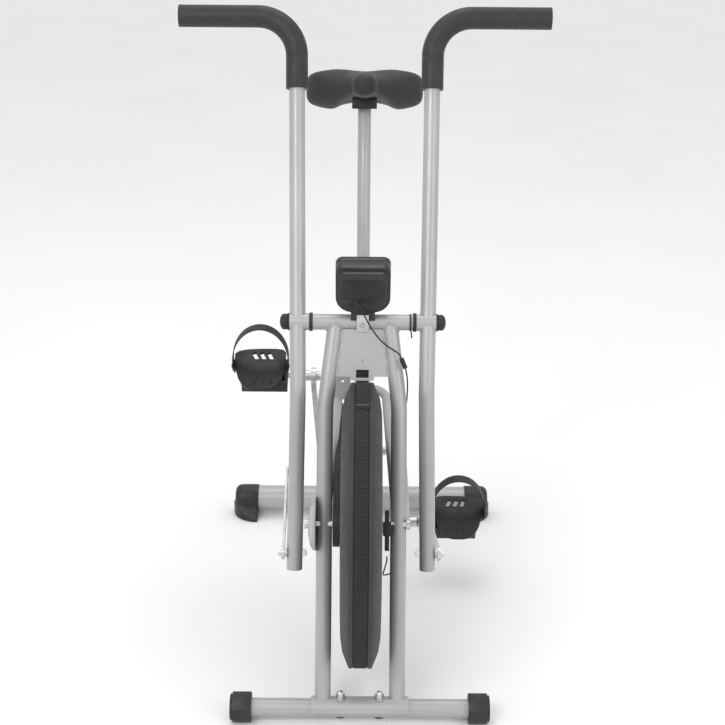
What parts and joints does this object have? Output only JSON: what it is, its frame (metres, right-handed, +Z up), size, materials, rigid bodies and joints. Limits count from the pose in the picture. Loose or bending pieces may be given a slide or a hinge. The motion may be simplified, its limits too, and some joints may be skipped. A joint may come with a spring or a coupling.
{
  "type": "air bike",
  "caption": "Upright dual-action exercise bike with swinging arms linked to the cranks, a chain-driven wheel with a strap brake, a height-adjustable saddle and a small console.",
  "frame": {"origin": "middle of the footprint, on the floor", "axes": "+Z up, -Y the front, +X to the right as seen from the front; left and right in the names are as seen from the front"},
  "size_m": [0.66, 0.938, 1.1615],
  "materials": {
    "silver_paint": "light silver-grey powder coat, semi-gloss",
    "bright_steel": "bright zinc plate",
    "dark_steel": "oiled chain steel",
    "black_plastic": "black moulded plastic, fine grain",
    "cap_plastic": "dark grey end-cap plastic",
    "cover_plastic": "dark grey wheel cover, satin",
    "gloss_black": "console housing, low gloss",
    "lens_grey": "light grey dome",
    "grip_foam": "closed-cell foam",
    "saddle_skin": "black vinyl over foam",
    "strap_web": "ribbed woven black webbing",
    "pedal_rubber": "black moulded rubber strap",
    "lead_jacket": "black cable jacket",
    "cast_weight": "dark cast iron",
    "display": "blank grey-green display",
    "spring_steel": "bright spring wire"
  },
  "bodies": {
    "frame": {"front_stabilizer": "silver_paint", "front_caps": "cap_plastic", "rear_stabilizer": "silver_paint", "rear_caps": "cap_plastic", "base_plate": "silver_paint", "base_bolts": "bright_steel", "leg_left": "silver_paint", "leg_right": "silver_paint", "crossbar": "silver_paint", "gusset_plate": "silver_paint", "stay_loop": "silver_paint", "seat_tube": "silver_paint", "bottom_bracket": "bright_steel", "rear_strut": "silver_paint", "pivot_axle": "bright_steel", "pivot_bushes": "black_plastic", "pivot_caps": "black_plastic", "wheel_axle": "bright_steel", "hub_cover": "lens_grey", "chain_guard": "black_plastic", "guard_bracket": "silver_paint", "chain": "dark_steel", "brake_strap": "strap_web", "strap_spring": "spring_steel", "tension_rod": "bright_steel", "console_bracket": "bright_steel", "console_shell": "gloss_black", "console_face": "gloss_black", "console_screen": "display", "battery_cover": "black_plastic", "console_lead": "lead_jacket", "lead_connector": "black_plastic", "speed_sensor": "black_plastic", "sensor_lead": "lead_jacket", "cable_ties": "black_plastic"},
    "arm_left": {"arm_left": "silver_paint", "grip_left": "grip_foam", "link_bolt_left": "bright_steel"},
    "arm_right": {"arm_right": "silver_paint", "grip_right": "grip_foam", "link_bolt_right": "bright_steel"},
    "link_left": {"link_left": "bright_steel"},
    "link_right": {"link_right": "bright_steel"},
    "crank": {"crank": "bright_steel", "chainring": "bright_steel", "pedal_spindles": "bright_steel"},
    "wheel": {"wheel_cover_left": "cover_plastic", "wheel_cover_right": "cover_plastic", "wheel_weight": "cast_weight", "wheel_hub": "bright_steel", "sprocket": "bright_steel"},
    "pedal_left": {"pedal_left": "black_plastic", "pedal_strap_left": "pedal_rubber"},
    "pedal_right": {"pedal_right": "black_plastic", "pedal_strap_right": "pedal_rubber"},
    "seat": {"seat_post": "silver_paint", "saddle": "saddle_skin"},
    "seat_pin": {"seat_pin": "bright_steel"},
    "tension_knob": {"tension_knob": "black_plastic"},
    "console_button": {"console_button": "black_plastic"}
  },
  "joints": [
    {"name": "arm_left_swing", "type": "hinge", "parent": "frame", "child": "arm_left", "pos_m": [0, -0.076, 0.647], "axis": [1, 0, 0], "range_deg": [-19, 19]},
    {"name": "arm_right_swing", "type": "hinge", "parent": "frame", "child": "arm_right", "pos_m": [0, -0.076, 0.647], "axis": [1, 0, 0], "range_deg": [-19, 19]},
    {"name": "link_left_turn", "type": "hinge", "parent": "arm_left", "child": "link_left", "pos_m": [0, -0.19, 0.249], "axis": [1, 0, 0], "range_deg": [-19, 19]},
    {"name": "link_right_turn", "type": "hinge", "parent": "arm_right", "child": "link_right", "pos_m": [0, -0.19, 0.249], "axis": [1, 0, 0], "range_deg": [-19, 19]},
    {"name": "crank_spin", "type": "hinge", "parent": "frame", "child": "crank", "pos_m": [0, 0.154, 0.288], "axis": [1, 0, 0], "continuous": true},
    {"name": "wheel_spin", "type": "hinge", "parent": "frame", "child": "wheel", "pos_m": [0, -0.221, 0.324], "axis": [1, 0, 0], "continuous": true},
    {"name": "pedal_left_spin", "type": "hinge", "parent": "crank", "child": "pedal_left", "pos_m": [0, 0.13485, 0.45692], "axis": [1, 0, 0], "continuous": true},
    {"name": "pedal_right_spin", "type": "hinge", "parent": "crank", "child": "pedal_right", "pos_m": [0, 0.17315, 0.11908], "axis": [1, 0, 0], "continuous": true},
    {"name": "seat_slide", "type": "slide", "parent": "frame", "child": "seat", "axis": [0, 0.2924, 0.9563], "range_m": [-0.1, 0.05]},
    {"name": "seat_pin_pull", "type": "slide", "parent": "frame", "child": "seat_pin", "axis": [0, 0.9563, -0.2924], "range_m": [0, 0.006], "stiffness_N_per_m": 1500, "springref_m": -0.004},
    {"name": "tension_knob_turn", "type": "hinge", "parent": "frame", "child": "tension_knob", "pos_m": [0, -0.03594, 0.64039], "axis": [0, -0.2079, 0.9781], "range_deg": [-720, 720]},
    {"name": "console_button_press", "type": "slide", "parent": "frame", "child": "console_button", "axis": [0, 0.9703, 0.2419], "range_m": [-0.0015, 0], "stiffness_N_per_m": 400, "springref_m": 0.001}
  ],
  "couplings": [
    {"joint": "arm_right_swing", "follows": "arm_left_swing", "ratio": -1},
    {"joint": "link_left_turn", "follows": "arm_left_swing", "ratio": -1},
    {"joint": "link_right_turn", "follows": "arm_left_swing", "ratio": 1},
    {"joint": "wheel_spin", "follows": "crank_spin", "ratio": 2.8571}
  ]
}
